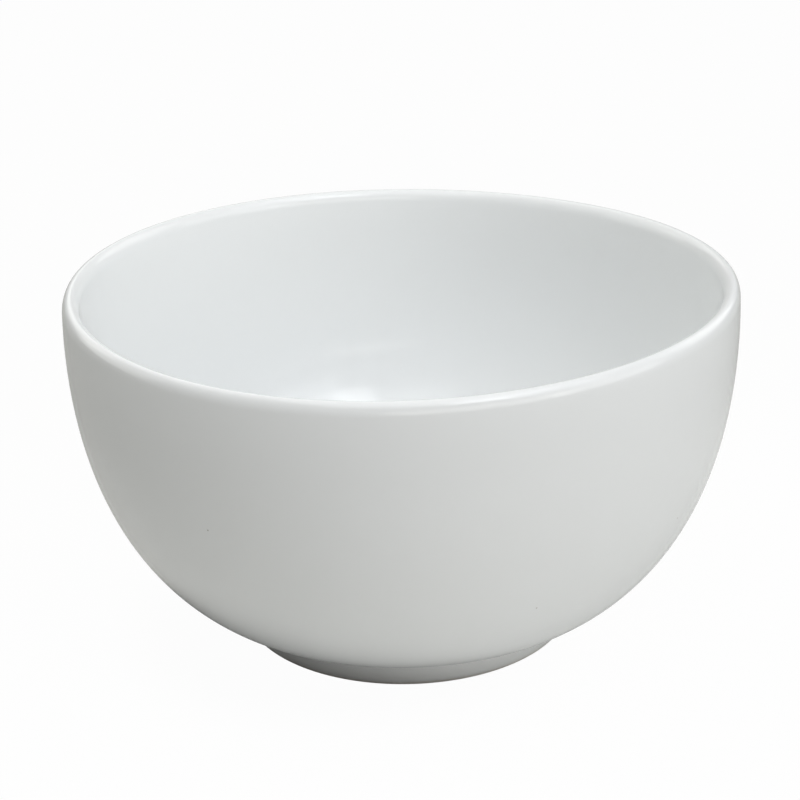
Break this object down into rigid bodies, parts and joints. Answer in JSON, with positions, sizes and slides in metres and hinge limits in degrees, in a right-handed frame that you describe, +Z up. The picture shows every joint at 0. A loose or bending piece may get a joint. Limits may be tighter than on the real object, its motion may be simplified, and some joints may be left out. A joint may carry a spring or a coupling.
{
  "type": "latte bowl",
  "caption": "Handleless round bowl for milky coffee, with a full belly, a rounded rim drawn in a little and a low foot ring, glazed white all over but for the bare ring that it stands on.",
  "frame": {"origin": "middle of the standing ring, on the surface that the bowl stands on", "axes": "+Z up along the bowl's axis, out of its mouth; the bowl is round, so X and Y are free"},
  "size_m": [0.14, 0.14, 0.077],
  "materials": {
    "clay": "fired clay, bare and matte on the standing ring",
    "glaze": "cool white gloss glaze",
    "well_glaze": "cool white gloss glaze"
  },
  "bodies": {
    "root": {"bowl_body": "clay", "glaze_coat": "glaze", "foot_well_glaze": "well_glaze"}
  },
  "joints": []
}
